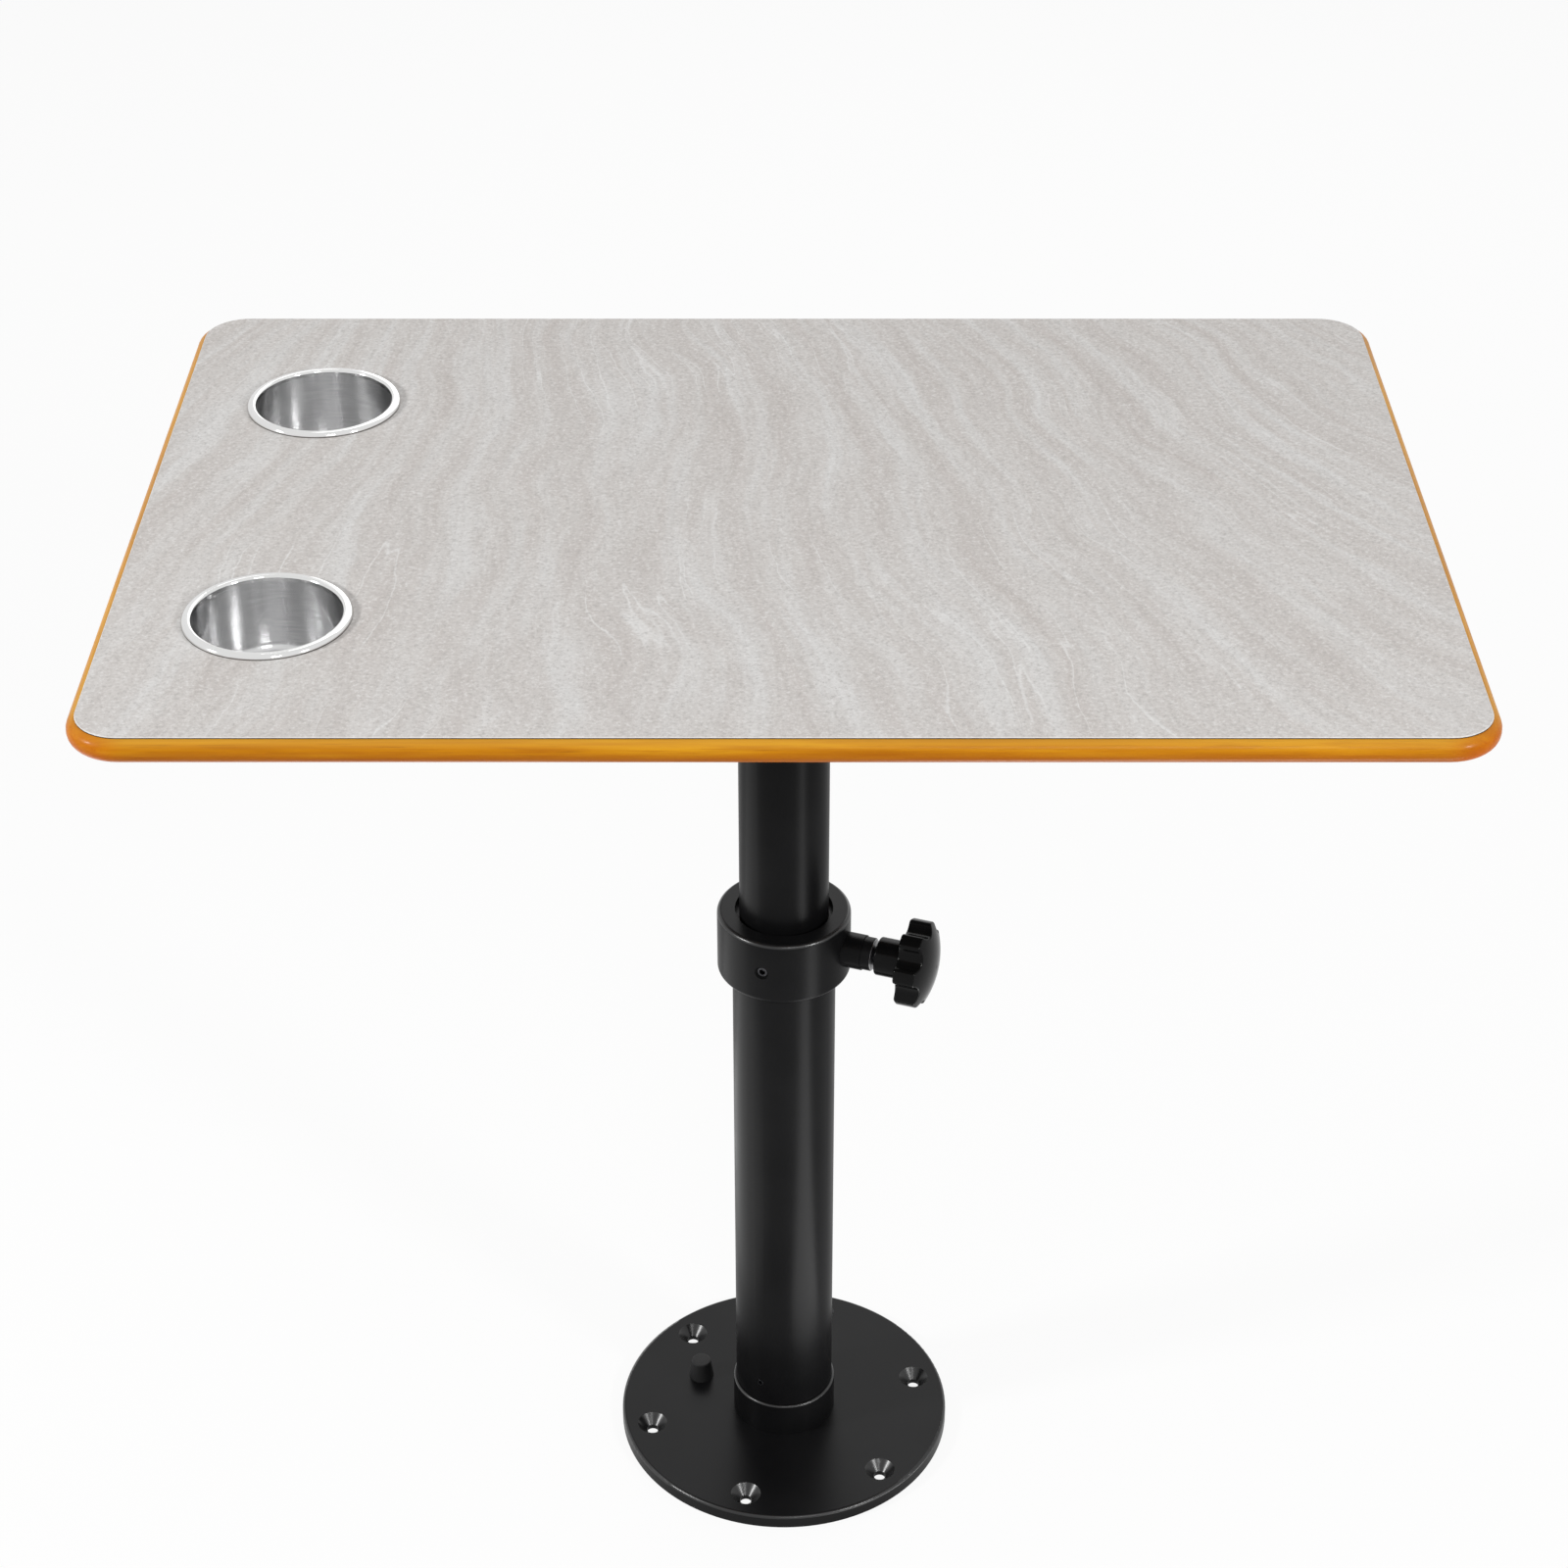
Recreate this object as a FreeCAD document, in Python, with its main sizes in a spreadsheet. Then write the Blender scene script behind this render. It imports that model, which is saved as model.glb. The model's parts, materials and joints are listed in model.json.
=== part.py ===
import FreeCAD, Part
import math
import os
import re

import Sketcher

# Caravan table: a laminate-topped table on a telescopic, swivelling pedestal with a star-knob clamp.
# Millimetres and degrees. The origin is the centre of the base plate's underside, +Z is up and
# +X runs along the table's length. Azimuths are counted from +X towards +Y.

# Driving dimensions, one sheet cell each
SIZES = {
    # Floor plate
    "plate_diameter": 240,
    "plate_thickness": 10,
    "plate_edge_round": 2.5,
    "floor_hole_circle": 200,
    "floor_hole_diameter": 8.5,
    "floor_sink_diameter": 21.5,
    "floor_hole_azimuth": 14,
    # Foot button that stands on the floor plate, with its spring and seat below
    "button_offset": 67.5,
    "button_azimuth": 156.5,
    "button_foot_diameter": 18,
    "button_top_diameter": 14,
    "button_rise": 15,
    "button_edge_round": 1,
    "button_lip": 1.5,
    "button_lip_thickness": 1.1,
    "button_web": 4.1,
    "button_crown": 4,
    "spring_diameter": 10,
    "spring_wire": 1.2,
    "spring_pitch": 3.6,
    "spring_play": 0.8,
    "seat_thickness": 0.8,
    # Column tubes
    "lower_tube_diameter": 70,
    "lower_tube_wall": 2,
    "lower_tube_length": 433,
    "upper_tube_diameter": 60,
    "upper_tube_wall": 2,
    "upper_tube_length": 389,
    "tube_overlap": 106,
    # Sockets at the column's two ends
    "socket_wall": 2,
    "socket_rise": 28,
    "socket_floor": 6,
    "socket_web": 14,
    "socket_edge_round": 1.7,
    "spigot_length": 50,
    "spigot_wall": 8,
    "set_screw_diameter": 6,
    "set_screw_key": 3,
    "set_screw_rise": 17,
    "set_screw_inset": 0.4,
    "centre_screw_diameter": 12,
    "centre_screw_key": 7,
    "centre_head_diameter": 24,
    "screw_setback": 1,
    # Clamp collar on the lower tube, and its bush
    "collar_wall": 10,
    "collar_height": 47,
    "collar_lip": 5,
    "collar_edge_round": 3,
    "bush_flange": 3,
    "bush_length": 55,
    "boss_diameter": 24,
    "boss_reach": 57,
    "boss_nose_diameter": 22.5,
    "boss_nose": 7,
    "boss_bevel": 0.7,
    "grub_diameter": 8,
    "grub_mouth_diameter": 9.6,
    "grub_mouth_depth": 0.8,
    "grub_key": 4,
    "grub_inset": 1.5,
    "window_diameter": 13,
    # Clamp screw, from the pad on the upper tube out to the knob
    "clamp_azimuth": 340.6,
    "stud_diameter": 12,
    "pad_gap": 0.3,
    "pad_length": 16,
    "nose_diameter": 6,
    "nose_length": 5,
    "knob_gap": 3,
    "knob_hub_diameter": 26,
    "knob_hub_length": 18.5,
    "knob_head_diameter": 59,
    "knob_head_thickness": 14.5,
    "knob_dome": 7.5,
    "knob_edge_round": 1.5,
    "knob_hub_round": 1.2,
    "lobe_gap_diameter": 17,
    "lobe_gap_depth": 6,
    "lobe_round": 3,
    "stud_depth": 16,
    # Glide plug in the upper tube's lower end
    "glide_thickness": 12,
    "glide_spigot": 28,
    # Flange under the table, and its wood screws
    "flange_diameter": 200,
    "flange_thickness": 8,
    "flange_edge_round": 2,
    "flange_hole_circle": 168,
    "wood_screw_diameter": 5.2,
    "wood_screw_head": 10,
    "wood_screw_length": 20,
    "wood_screw_tip": 3,
    "wood_screw_key": 2.6,
    "wood_screw_key_depth": 2,
    # Table top
    "board_length": 800,
    "board_width": 555,
    "board_thickness": 15,
    "board_corner": 33,
    "board_edge_round": 7,
    "laminate_thickness": 1,
    "laminate_inset": 5.3,
    "laminate_bevel": 0.5,
    # Drop-in cup holders
    "cup_inset": 98.6,
    "cup_spacing": 280,
    "cup_bore": 88,
    "cup_wall": 1,
    "cup_depth": 50,
    "cup_floor_round": 5,
    "rim_diameter": 100,
    "rim_rise": 3,
    "rim_outer_round": 2.7,
    "rim_inner_round": 1.8,
    # Clearances: parts that stay together, parts that slide or turn, and the cup holders' holes
    "fit": 0.05,
    "slide_fit": 0.1,
    "cup_fit": 0.5,
    # How far a cut runs on past what it goes through
    "overrun": 1,
}

# Radii and heights that follow from the sizes, as formulas
LEVELS = {
    "lower_outer": "lower_tube_diameter / 2",
    "lower_inner": "lower_tube_diameter / 2 - lower_tube_wall",
    "upper_outer": "upper_tube_diameter / 2",
    "upper_inner": "upper_tube_diameter / 2 - upper_tube_wall",
    "lower_foot": "plate_thickness + socket_floor",
    "lower_top": "lower_foot + lower_tube_length",
    "collar_top": "lower_top + bush_flange + collar_lip",
    "collar_foot": "collar_top - collar_height",
    "clamp_level": "collar_foot + collar_height / 2",
    "collar_outer": "lower_outer + fit + collar_wall",
    "boss_end": "boss_reach + boss_nose",
    "upper_foot": "lower_top - tube_overlap",
    "upper_top": "upper_foot + upper_tube_length",
    "flange_face": "upper_top + socket_floor",
    "board_foot": "flange_face + flange_thickness",
    "board_top": "board_foot + board_thickness",
    "table_top": "board_top + laminate_thickness",
    "set_screw_level": "socket_rise + set_screw_rise",
    "pad_end": "upper_outer + pad_gap + pad_length",
    "hub_face": "boss_end + knob_gap",
    "head_back": "hub_face + knob_hub_length",
    "head_front": "head_back + knob_head_thickness",
    "button_lip_top": "plate_thickness - button_web",
    "button_well": "button_foot_diameter / 2 + button_lip + slide_fit",
    "cavity_top": "plate_thickness + button_rise - button_crown",
    "cup_offset": "board_length / 2 - cup_inset",
    "cup_outer": "cup_bore / 2 + cup_wall",
    "cup_height": "cup_depth - rim_rise + cup_wall",
}

# The largest share of a wall or thickness that a rounded edge may take
MOST_ROUND = 0.48
MOST_WALL_ROUND = 0.9

FLOOR_HOLES = 6
FLANGE_HOLES = 6
SET_SCREWS = 3
KNOB_LOBES = 7
SAME = 1e-4

doc = FreeCAD.newDocument("caravan_table")
sheet = doc.addObject("Spreadsheet::Sheet", "Sizes")
for row, (alias, size) in enumerate(SIZES.items(), start=1):
    sheet.set(f"A{row}", alias)
    sheet.set(f"B{row}", str(size))
    sheet.setAlias(f"B{row}", alias)
doc.recompute()
gauge = doc.addObject("App::FeaturePython", "Gauge")
subparts = []


# Formulas

def cells(text):
    """Write a formula of sizes and levels as an expression of sheet cells."""

    def swap(match):
        name = match.group()
        if name in LEVELS:
            return f"({cells(LEVELS[name])})"
        return f"Sizes.{name}" if name in SIZES else name

    return re.sub(r"[a-z_]+", swap, text)


def number(text):
    """The present value of a formula."""
    return float(gauge.evalExpression(cells(text)))


def bind(item, prop, text):
    item.setExpression(prop, cells(text))


# Bodies and sketches

def new_body(label):
    body = doc.addObject("PartDesign::Body", label)
    body.Label = label
    body.AllowCompound = True
    subparts.append(body)
    return body


def place(body, x="0", y="0", z="0", azimuth=None, upside_down=False):
    """Set a body's place, turned about Z or turned over about X."""
    if upside_down:
        body.Placement = FreeCAD.Placement(FreeCAD.Vector(), FreeCAD.Rotation(FreeCAD.Vector(1, 0, 0), 180))
    if azimuth:
        body.Placement = FreeCAD.Placement(FreeCAD.Vector(), FreeCAD.Rotation(FreeCAD.Vector(0, 0, 1), 90))
        bind(body, "Placement.Rotation.Angle", azimuth)
    bind(body, "Placement.Base.x", x)
    bind(body, "Placement.Base.y", y)
    bind(body, "Placement.Base.z", z)


def origin_item(body, role):
    return next(item for item in body.Origin.OriginFeatures if item.Role == role)


def new_sketch(body, name, role, offset="0"):
    sketch = body.newObject("Sketcher::SketchObject", f"{body.Label}_{name}_sketch")
    sketch.AttachmentSupport = [(origin_item(body, role), "")]
    sketch.MapMode = "FlatFace"
    bind(sketch, "AttachmentOffset.Base.z", offset)
    return sketch


def pin_point(sketch, edge, end, x, y):
    """Hold one point of a sketch edge at a place given by two formulas."""
    for kind, axis, text in (("DistanceX", -2, x), ("DistanceY", -1, y)):
        if text == "0":
            sketch.addConstraint(Sketcher.Constraint("PointOnObject", edge, end, axis))
        else:
            index = sketch.addConstraint(Sketcher.Constraint(kind, -1, 1, edge, end, number(text)))
            bind(sketch, f"Constraints[{index}]", text)


def add_outline(sketch, points):
    """Draw a closed outline through points given as pairs of formulas.

    A point with a third item, DOME, starts an arc that is centred on the sketch's X axis.
    """
    corners = [FreeCAD.Vector(number(point[0]), number(point[1]), 0) for point in points]
    ends = []
    for index, first in enumerate(corners):
        last = corners[(index + 1) % len(corners)]
        if len(points[index]) == 3:
            middle = (last.x ** 2 - first.x ** 2 - first.y ** 2) / (2 * (last.x - first.x))
            circle = Part.Circle(FreeCAD.Vector(middle, 0, 0), FreeCAD.Vector(0, 0, 1), last.x - middle)
            arc = Part.ArcOfCircle(circle, 0, math.atan2(first.y, first.x - middle))
            edge = sketch.addGeometry(arc)
            sketch.addConstraint(Sketcher.Constraint("PointOnObject", edge, 3, -1))
            ends.append((2, 1))
        else:
            sketch.addGeometry(Part.LineSegment(first, last))
            ends.append((1, 2))
    for index, point in enumerate(points):
        following = (index + 1) % len(points)
        sketch.addConstraint(
            Sketcher.Constraint("Coincident", index, ends[index][1], following, ends[following][0])
        )
        pin_point(sketch, index, ends[index][0], point[0], point[1])


def add_axis_line(sketch, start, end):
    """Add a construction line that serves as the axis of a turned feature."""
    points = [FreeCAD.Vector(number(x), number(y), 0) for x, y in (start, end)]
    line = sketch.addGeometry(Part.LineSegment(*points), True)
    pin_point(sketch, line, 1, *start)
    pin_point(sketch, line, 2, *end)


def add_circles(sketch, circles):
    """Draw circles given as formulas of x, y and diameter."""
    for x, y, diameter in circles:
        centre = FreeCAD.Vector(number(x), number(y), 0)
        circle = Part.Circle(centre, FreeCAD.Vector(0, 0, 1), number(diameter) / 2)
        edge = sketch.addGeometry(circle)
        pin_point(sketch, edge, 3, x, y)
        index = sketch.addConstraint(Sketcher.Constraint("Diameter", edge, number(diameter)))
        bind(sketch, f"Constraints[{index}]", diameter)


# Features

def add_feature(body, kind, name, sketch):
    """Add a sketch-based feature, and tell the volume of the body before it."""
    before = body.Tip.Shape.Volume if body.Tip else 0
    feature = body.newObject(f"PartDesign::{kind}", f"{body.Label}_{name}")
    feature.Profile = sketch
    return feature, before


def finish_feature(feature, before, cuts):
    """Make sure that a feature has added or cut something."""
    doc.recompute()
    change = feature.Shape.Volume - before
    if (change >= -SAME) if cuts else (change <= SAME):
        raise RuntimeError(f"{feature.Name} changed nothing")
    return feature


def turn(body, name, points, axis="V_Axis", axis_line=None, cuts=False):
    """Revolve an outline in the XZ plane, to add to the body or to cut it."""
    sketch = new_sketch(body, name, "XZ_Plane")
    add_outline(sketch, points)
    if axis_line:
        add_axis_line(sketch, *axis_line)
        axis = "Axis0"
    feature, before = add_feature(body, "Groove" if cuts else "Revolution", name, sketch)
    feature.ReferenceAxis = (sketch, [axis])
    feature.Angle = 360
    return finish_feature(feature, before, cuts)


def pad(body, name, sketch, length):
    feature, before = add_feature(body, "Pad", name, sketch)
    bind(feature, "Length", length)
    return finish_feature(feature, before, cuts=False)


def pocket(body, name, sketch, depth):
    """Cut along the sketch's own normal."""
    feature, before = add_feature(body, "Pocket", name, sketch)
    feature.Reversed = True
    bind(feature, "Length", depth)
    return finish_feature(feature, before, cuts=True)


def drill(body, name, role, circles, depth, offset="0"):
    """Cut round holes from an origin plane, along that plane's normal."""
    sketch = new_sketch(body, name, role, offset)
    add_circles(sketch, circles)
    return pocket(body, name, sketch, depth)


def repeat_round(body, features, count, role="Z_Axis"):
    pattern = body.newObject("PartDesign::PolarPattern", f"{features[0].Name}_pattern")
    pattern.Originals = features
    pattern.Axis = (origin_item(body, role), [""])
    pattern.Angle = 360
    pattern.Occurrences = count
    body.Tip = pattern
    doc.recompute()


def dress(body, kind, name, size, chosen):
    """Round or bevel the edges of the body that a test chooses."""
    base = body.Tip
    names = [f"Edge{index}" for index, edge in enumerate(base.Shape.Edges, start=1) if chosen(edge)]
    feature = body.newObject(f"PartDesign::{kind}", f"{body.Label}_{name}")
    feature.Base = (base, names)
    bind(feature, "Radius" if kind == "Fillet" else "Size", size)
    doc.recompute()


def ring_at(radius, level):
    """Choose round edges about a vertical axis, by radius and height."""
    wanted_radius, wanted_level = number(radius), number(level)

    def chosen(edge):
        curve = edge.Curve
        return (
            isinstance(curve, Part.Circle)
            and abs(curve.Radius - wanted_radius) < SAME
            and abs(curve.Center.z - wanted_level) < SAME
        )

    return chosen


def level_at(level):
    """Choose edges that lie in a horizontal plane."""
    wanted = number(level)
    return lambda edge: all(abs(vertex.Z - wanted) < SAME for vertex in edge.Vertexes)


def upright(edge):
    """Choose straight vertical edges."""
    first, last = edge.Vertexes[0].Point, edge.Vertexes[-1].Point
    return abs(first.x - last.x) < SAME and abs(first.y - last.y) < SAME and abs(first.z - last.z) > SAME


# Sub-parts that the column has at both ends

def round_plate(label, name, hole_circle, hole_diameter, sink_diameter, azimuth, count):
    """A plate with countersunk holes in its front, and a countersunk centre hole in its back."""
    body = new_body(label)
    outer, thickness = f"{name}_diameter / 2", f"{name}_thickness"
    head, bore = "centre_head_diameter / 2", "centre_screw_diameter / 2 + fit"
    turn(body, "disc", [
        (bore, f"{head} - ({bore})"), (head, "0"), (outer, "0"), (outer, thickness), (bore, thickness),
    ])
    hole = drill(body, "holes", "XY_Plane", [
        (f"{hole_circle} / 2 * cos({azimuth})", f"{hole_circle} / 2 * sin({azimuth})", hole_diameter),
    ], thickness)
    repeat_round(body, [hole], count)
    dress(body, "Chamfer", "sinks", f"({sink_diameter} - ({hole_diameter})) / 2",
          ring_at(f"({hole_diameter}) / 2", thickness))
    dress(body, "Fillet", "rim", f"{name}_edge_round", ring_at(outer, thickness))
    return body


def tube_socket(label, tube):
    """A ring and spigot with a groove between them, in which the tube's end stands."""
    body = new_body(label)
    ring_bore, ring_outer = f"{tube}_outer + fit", f"{tube}_outer + fit + socket_wall"
    spigot, spigot_bore = f"{tube}_inner - fit", f"{tube}_inner - fit - spigot_wall"
    spigot_top, thread = "socket_floor + spigot_length", "centre_screw_diameter / 2 + fit"
    turn(body, "section", [
        (thread, "0"), (ring_outer, "0"), (ring_outer, "socket_rise"), (ring_bore, "socket_rise"),
        (ring_bore, "socket_floor"), (spigot, "socket_floor"), (spigot, spigot_top),
        (spigot_bore, spigot_top), (spigot_bore, "socket_web"), (thread, "socket_web"),
    ])
    hole = drill(body, "set_screw_holes", "YZ_Plane",
                 [("0", "set_screw_level", "set_screw_diameter + 2 * fit")], f"{tube}_outer")
    repeat_round(body, [hole], SET_SCREWS)
    dress(body, "Fillet", "rim", f"min(socket_edge_round; socket_wall * {MOST_WALL_ROUND})",
          ring_at(ring_outer, "socket_rise"))
    return body


def set_screws(label, tube):
    """Grub screws with a key socket, from inside the spigot to just below the tube's surface."""
    body = new_body(label)
    start, end = f"{tube}_inner - fit - spigot_wall + screw_setback", f"{tube}_outer - set_screw_inset"
    level, edge = "set_screw_level", "set_screw_level + set_screw_diameter / 2"
    screw = turn(body, "screw", [(start, level), (start, edge), (end, edge), (end, level)],
                 axis_line=(("0", level), (f"{tube}_outer", level)))
    key = drill(body, "key", "YZ_Plane", [("0", level, "set_screw_key")],
                "set_screw_diameter / 2", offset=f"{end} - set_screw_diameter / 2")
    repeat_round(body, [screw, key], SET_SCREWS)
    return body


def centre_screw(label, plate):
    """Countersunk screw through a plate's back into the socket on its front."""
    body = new_body(label)
    head, shank = "centre_head_diameter / 2 - fit", "centre_screw_diameter / 2"
    end = f"{plate}_thickness + socket_web - screw_setback"
    turn(body, "screw", [("0", "0"), (head, "0"), (shank, f"{head} - {shank}"), (shank, end), ("0", end)])
    drill(body, "key", "XY_Plane", [("0", "0", "centre_screw_key")], f"{head} - {shank} - screw_setback")
    return body


# Pedestal

def make_base_plate():
    body = round_plate("base_plate", "plate", "floor_hole_circle", "floor_hole_diameter",
                       "floor_sink_diameter", "floor_hole_azimuth", FLOOR_HOLES)
    place(body)
    spot = ("button_offset * cos(button_azimuth)", "button_offset * sin(button_azimuth)")
    drill(body, "button_hole", "XY_Plane",
          [(*spot, "button_foot_diameter + 2 * slide_fit")], "plate_thickness")
    drill(body, "button_well", "XY_Plane", [(*spot, "2 * button_well")], "button_lip_top")


def place_at_button(body, z):
    place(body, "button_offset * cos(button_azimuth)", "button_offset * sin(button_azimuth)", z)


def make_release_button():
    """Tapered hollow button, held under the plate by its lip."""
    body = new_body("release_button")
    foot, top = "button_foot_diameter / 2", "button_top_diameter / 2"
    lip = f"{foot} + button_lip"
    lip_foot, crown = "button_lip_top - button_lip_thickness", "plate_thickness + button_rise"
    cavity = "spring_diameter / 2 + spring_play"
    turn(body, "section", [
        (cavity, lip_foot), (lip, lip_foot), (lip, "button_lip_top"), (foot, "button_lip_top"),
        (foot, "plate_thickness"), (top, crown), ("0", crown), ("0", "cavity_top"), (cavity, "cavity_top"),
    ])
    dress(body, "Fillet", "crown", "button_edge_round", ring_at(top, crown))
    place_at_button(body, "0")


def make_button_seat():
    body = new_body("button_seat")
    edge = "button_well - fit"
    turn(body, "disc", [("0", "0"), (edge, "0"), (edge, "seat_thickness"), ("0", "seat_thickness")])
    place_at_button(body, "0")


def make_button_spring():
    """Open coil spring between the seat and the button's crown."""
    body = new_body("button_spring")
    sketch = new_sketch(body, "wire", "XZ_Plane")
    add_circles(sketch, [("(spring_diameter - spring_wire) / 2", "spring_wire / 2", "spring_wire")])
    coil = body.newObject("PartDesign::AdditiveHelix", "button_spring_coil")
    coil.Profile = sketch
    coil.ReferenceAxis = (sketch, ["V_Axis"])
    coil.Mode = "pitch-height-angle"
    bind(coil, "Pitch", "spring_pitch")
    bind(coil, "Height", "cavity_top - seat_thickness - spring_wire")
    doc.recompute()
    place_at_button(body, "seat_thickness")


def make_lower_tube():
    body = new_body("lower_tube")
    turn(body, "wall", [
        ("lower_inner", "0"), ("lower_outer", "0"),
        ("lower_outer", "lower_tube_length"), ("lower_inner", "lower_tube_length"),
    ])
    hole = drill(body, "set_screw_holes", "YZ_Plane",
                 [("0", "set_screw_level - socket_floor", "set_screw_diameter + 2 * fit")],
                 "lower_outer + overrun")
    repeat_round(body, [hole], SET_SCREWS)
    sketch = new_sketch(body, "clamp_window", "YZ_Plane")
    quarter = FreeCAD.Rotation(FreeCAD.Vector(0, 1, 0), 90)
    sketch.AttachmentOffset = FreeCAD.Placement(FreeCAD.Vector(), quarter)
    bind(sketch, "AttachmentOffset.Rotation.Angle", "clamp_azimuth")
    add_circles(sketch, [("0", "clamp_level - lower_foot", "window_diameter")])
    pocket(body, "clamp_window", sketch, "lower_outer + overrun")
    place(body, z="lower_foot")


def place_at_clamp(body):
    place(body, z="clamp_level", azimuth="clamp_azimuth")


def make_clamp_collar():
    """Collar with a stepped side boss, bored for the tube, the clamp stud and a grub screw."""
    body = new_body("clamp_collar")
    half, lip = "collar_height / 2", "collar_height / 2 - collar_lip"
    turn(body, "blank", [
        ("0", f"-{half}"), ("collar_outer", f"-{half}"), ("collar_outer", half), ("0", half),
    ])
    for level in (f"-{half}", half):
        dress(body, "Fillet", "edge", "min(collar_edge_round; collar_wall / 2)",
              ring_at("collar_outer", level))
    for name, diameter, reach in (("boss", "boss_diameter", "boss_reach"),
                                  ("boss_nose", "boss_nose_diameter", "boss_end")):
        sketch = new_sketch(body, name, "YZ_Plane")
        add_circles(sketch, [("0", "0", diameter)])
        pad(body, name, sketch, reach)
    dress(body, "Chamfer", "boss_bevel", "boss_bevel", crosswise("boss_end", "0"))
    turn(body, "bore", [
        ("0", f"-{half}"), ("lower_outer + fit", f"-{half}"), ("lower_outer + fit", lip),
        ("lower_inner", lip), ("lower_inner", half), ("0", half),
    ], cuts=True)
    drill(body, "stud_bore", "YZ_Plane", [("0", "0", "stud_diameter + 2 * fit")], "boss_end")
    drill(body, "grub_bore", "XZ_Plane", [("0", "0", "grub_diameter + 2 * fit")], "collar_outer + overrun")
    drill(body, "grub_mouth", "XZ_Plane", [("0", "0", "grub_mouth_diameter")],
          "grub_mouth_depth + overrun", offset="collar_outer - grub_mouth_depth")
    place_at_clamp(body)


def make_collar_grub_screw():
    """Grub screw that holds the collar on the lower tube, a quarter turn from the knob."""
    body = new_body("collar_grub_screw")
    sketch = new_sketch(body, "shank", "XZ_Plane", "lower_outer")
    add_circles(sketch, [("0", "0", "grub_diameter")])
    pad(body, "shank", sketch, "fit + collar_wall - grub_inset")
    drill(body, "key", "XZ_Plane", [("0", "0", "grub_key")], "grub_key",
          offset="collar_outer - grub_inset - grub_key")
    place_at_clamp(body)


def make_guide_bush():
    """Flanged bush in the lower tube's mouth, held down by the collar's lip."""
    body = new_body("guide_bush")
    bore, sleeve, shoulder = "upper_outer + slide_fit", "lower_inner - fit", "lower_top - clamp_level"
    foot, top = f"{shoulder} - bush_length", f"{shoulder} + bush_flange"
    turn(body, "section", [
        (bore, foot), (sleeve, foot), (sleeve, shoulder), ("lower_outer", shoulder),
        ("lower_outer", top), (bore, top),
    ])
    drill(body, "window", "YZ_Plane", [("0", "0", "window_diameter")], "lower_outer")
    place_at_clamp(body)


# Clamp

def make_clamp_pad():
    """Pad with a saddle face for the upper tube and a blind hole for the stud's nose."""
    body = new_body("clamp_pad")
    inner, half = "upper_outer - stud_diameter / 2", "stud_diameter / 2"
    turn(body, "blank", [(inner, "0"), ("pad_end", "0"), ("pad_end", half), (inner, half)], axis="H_Axis")
    drill(body, "saddle", "XY_Plane", [("0", "0", "2 * (upper_outer + pad_gap)")],
          "2 * stud_diameter", offset="-stud_diameter")
    drill(body, "nose_hole", "YZ_Plane", [("0", "0", "nose_diameter + 2 * fit")],
          "nose_length + fit", offset="pad_end - nose_length - fit")
    place_at_clamp(body)


def make_clamp_stud():
    body = new_body("clamp_stud")
    half, nose = "stud_diameter / 2", "nose_diameter / 2"
    shoulder, end = "pad_end + fit", "hub_face + stud_depth - fit"
    turn(body, "section", [
        (f"{shoulder} - nose_length", "0"), (f"{shoulder} - nose_length", nose), (shoulder, nose),
        (shoulder, half), (end, half), (end, "0"),
    ], axis="H_Axis")
    place_at_clamp(body)


def make_clamp_knob():
    """Star knob with a round hub, lobes and a domed face."""
    body = new_body("clamp_knob")
    hub, head = "knob_hub_diameter / 2", "knob_head_diameter / 2"
    turn(body, "blank", [
        ("hub_face", "0"), ("hub_face", hub), ("head_back", hub), ("head_back", head),
        ("head_front", head, "DOME"), ("head_front + knob_dome", "0"),
    ], axis="H_Axis")
    gap_centre = f"{head} - lobe_gap_depth + lobe_gap_diameter / 2"
    gap = drill(body, "lobe_gap", "YZ_Plane", [("0", gap_centre, "lobe_gap_diameter")],
                "knob_head_thickness + knob_dome", offset="head_back")
    repeat_round(body, [gap], KNOB_LOBES, "X_Axis")
    dress(body, "Fillet", "lobes", "lobe_round", lengthwise)
    dress(body, "Fillet", "back_edge", "knob_edge_round", crosswise("head_back", f"{hub} + overrun"))
    dress(body, "Fillet", "front_edge", "knob_edge_round", on_dome(body))
    dress(body, "Fillet", "hub_edge", "knob_hub_round", crosswise("hub_face", "0"))
    drill(body, "stud_hole", "YZ_Plane", [("0", "0", "stud_diameter + 2 * fit")], "stud_depth",
          offset="hub_face")
    place_at_clamp(body)


def lengthwise(edge):
    """Choose straight edges along X: the corners of the knob's lobes."""
    first, last = edge.Vertexes[0].Point, edge.Vertexes[-1].Point
    return abs(first.y - last.y) < SAME and abs(first.z - last.z) < SAME and abs(first.x - last.x) > SAME


def crosswise(level, inner):
    """Choose edges in a plane across X, outside a radius."""
    wanted, least = number(level), number(inner)
    return lambda edge: all(
        abs(vertex.X - wanted) < SAME and math.hypot(vertex.Y, vertex.Z) > least for vertex in edge.Vertexes
    )


def on_dome(body):
    """Choose the edges round the body's ball-shaped face."""
    dome = next(face for face in body.Tip.Shape.Faces if isinstance(face.Surface, Part.Sphere))
    return lambda edge: any(edge.isSame(bound) for bound in dome.Edges)


# Upper column

def make_lower_glide():
    """Plug that guides the upper tube's lower end in the lower tube."""
    body = new_body("lower_glide")
    outer, spigot = "lower_inner - slide_fit", "upper_inner - fit"
    top = "glide_thickness + glide_spigot"
    turn(body, "section", [
        ("0", "0"), (outer, "0"), (outer, "glide_thickness - fit"), (spigot, "glide_thickness - fit"),
        (spigot, top), (f"{spigot} - spigot_wall", top), (f"{spigot} - spigot_wall", "glide_thickness"),
        ("0", "glide_thickness"),
    ])
    place(body, z="upper_foot - glide_thickness")


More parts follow.
